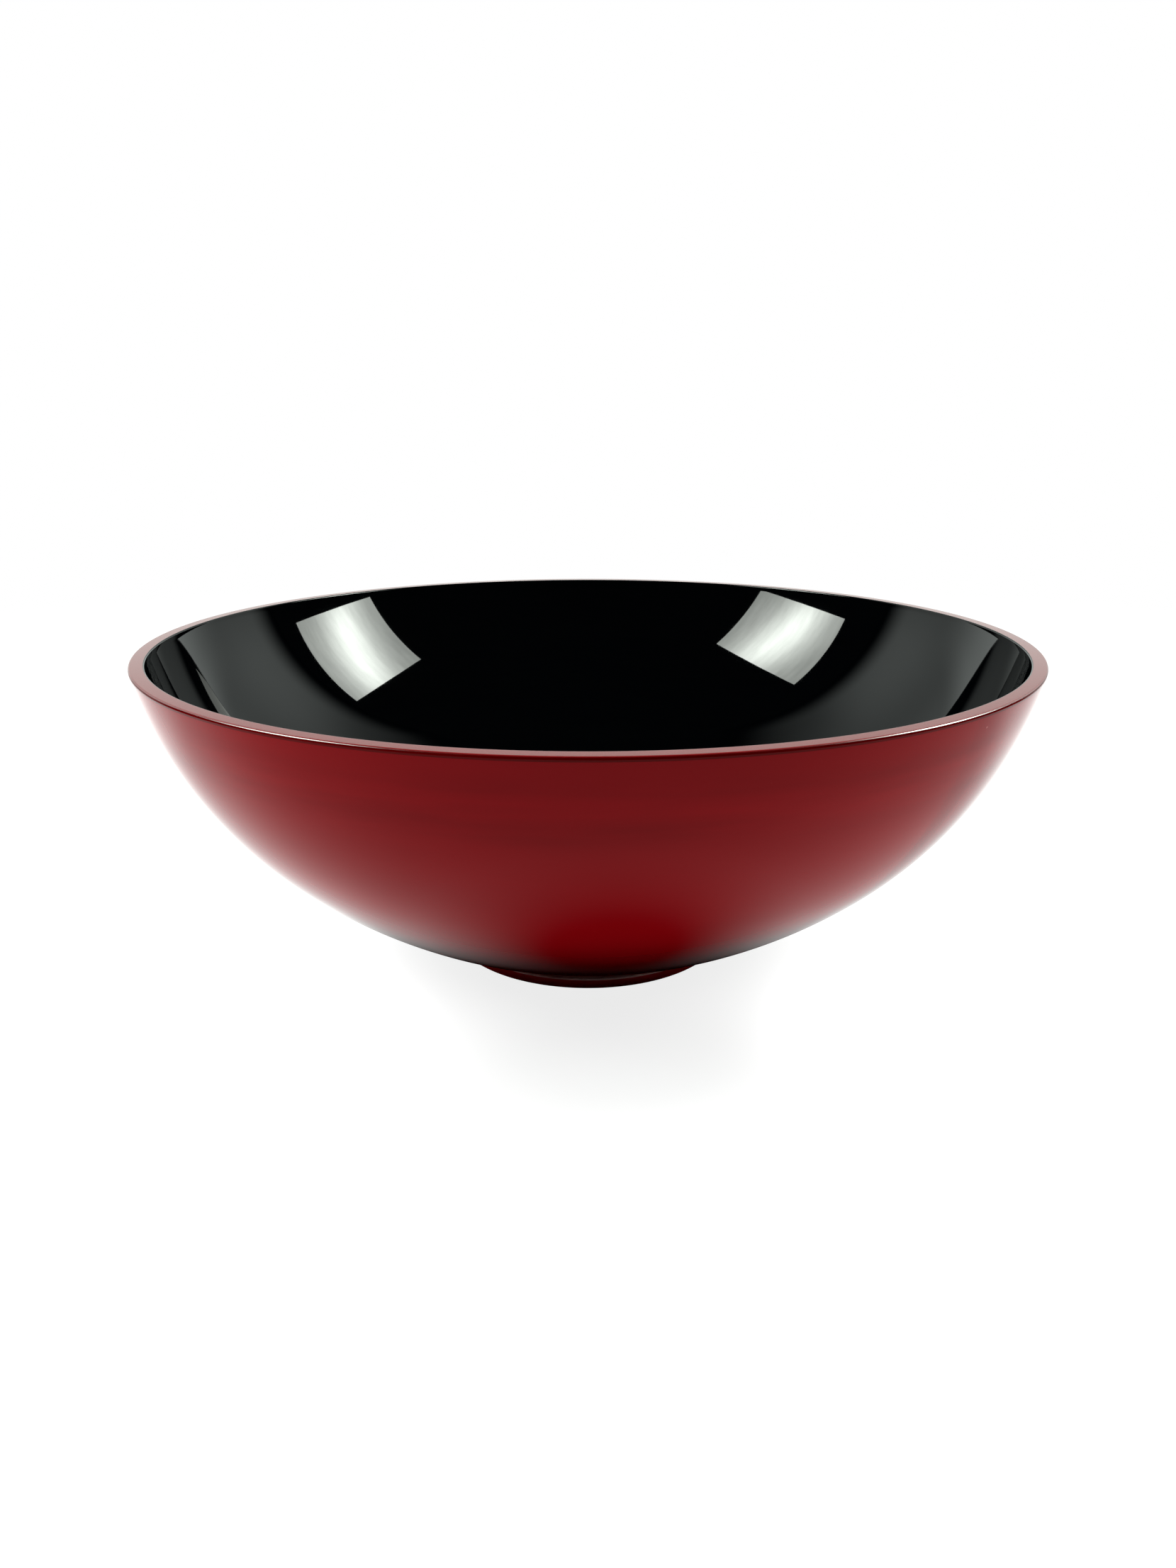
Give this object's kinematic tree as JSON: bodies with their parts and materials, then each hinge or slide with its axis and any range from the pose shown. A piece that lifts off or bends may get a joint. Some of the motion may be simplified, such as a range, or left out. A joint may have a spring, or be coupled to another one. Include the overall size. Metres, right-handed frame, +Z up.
{
  "type": "bowl",
  "caption": "Wide, shallow turned bowl on a low foot ring, glossy red outside and over the lip, and black inside.",
  "frame": {"origin": "centre of the foot's standing face, on the table", "axes": "+Z up along the axis the bowl is turned about; X and Y are alike"},
  "size_m": [0.3, 0.3, 0.11],
  "materials": {
    "wood": "turned and sanded, unlacquered",
    "red_lacquer": "deep red polished lacquer",
    "black_lacquer": "black mirror-gloss lacquer"
  },
  "bodies": {
    "root": {"blank": "wood", "foot_ring": "wood", "red_coat": "red_lacquer", "black_lining": "black_lacquer", "recess_coat": "red_lacquer"}
  },
  "joints": []
}
